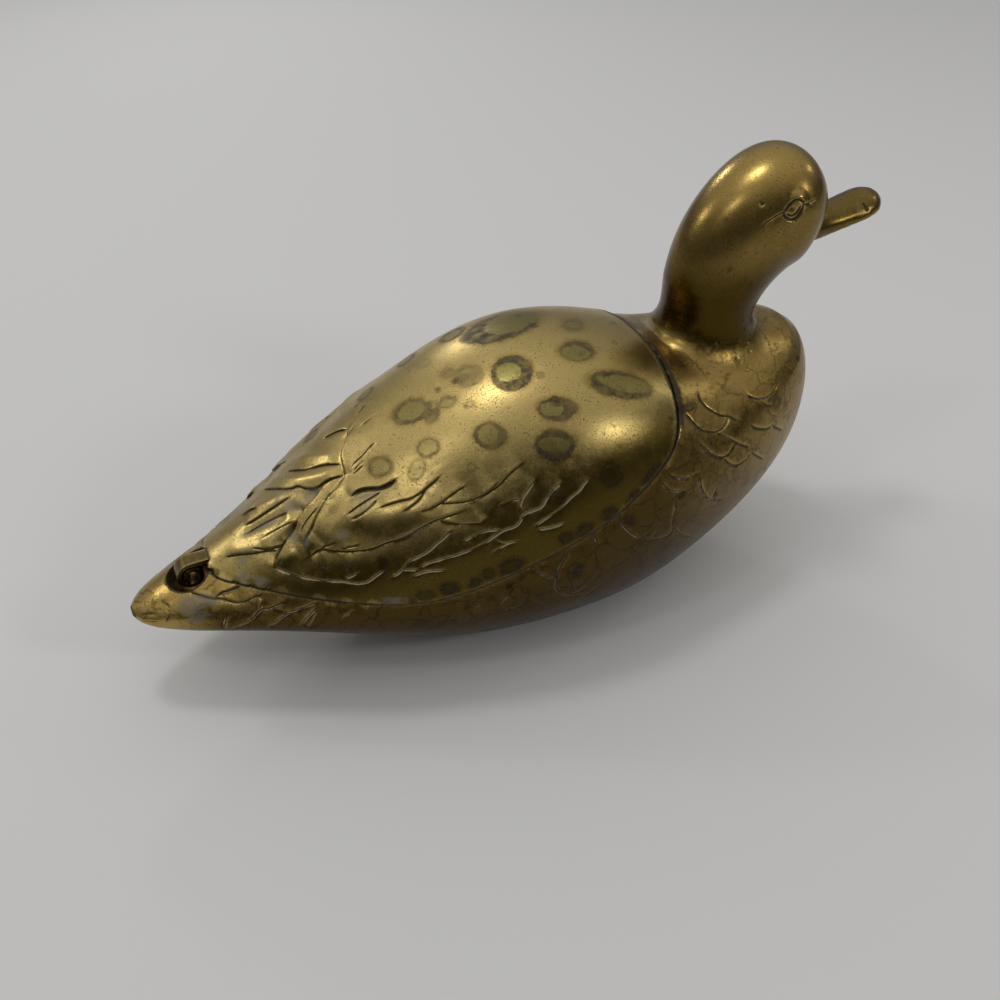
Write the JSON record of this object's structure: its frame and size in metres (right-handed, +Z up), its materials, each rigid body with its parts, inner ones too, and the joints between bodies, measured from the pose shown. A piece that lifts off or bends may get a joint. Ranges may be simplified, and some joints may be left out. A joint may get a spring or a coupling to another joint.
{
  "type": "duck shaped covered box",
  "caption": "Cast brass covered box shaped as a mallard drake: hollow lower body with head and neck, and a lift-off back-and-wings lid with a curled tail feather.",
  "frame": {"origin": "on the table, under the middle of the whole length", "axes": "+X towards the bill, +Y to the duck's left, +Z up"},
  "size_m": [0.334, 0.1242, 0.1839],
  "materials": {
    "body_brass": "aged, polished on the high spots",
    "head_brass": "aged, polished",
    "braze": "as brazed",
    "lid_brass": "aged, polished, spotted with patina",
    "curl_brass": "aged, dark in the hollows"
  },
  "bodies": {
    "base": {"body_bowl": "body_brass", "head_and_neck": "head_brass", "neck_braze": "braze"},
    "cover": {"lid": "lid_brass", "tail_curl": "curl_brass"}
  },
  "joints": [
    {"name": "lid_lift", "type": "slide", "parent": "base", "child": "cover", "axis": [0, 0, 1], "range_m": [0, 0.09]}
  ]
}
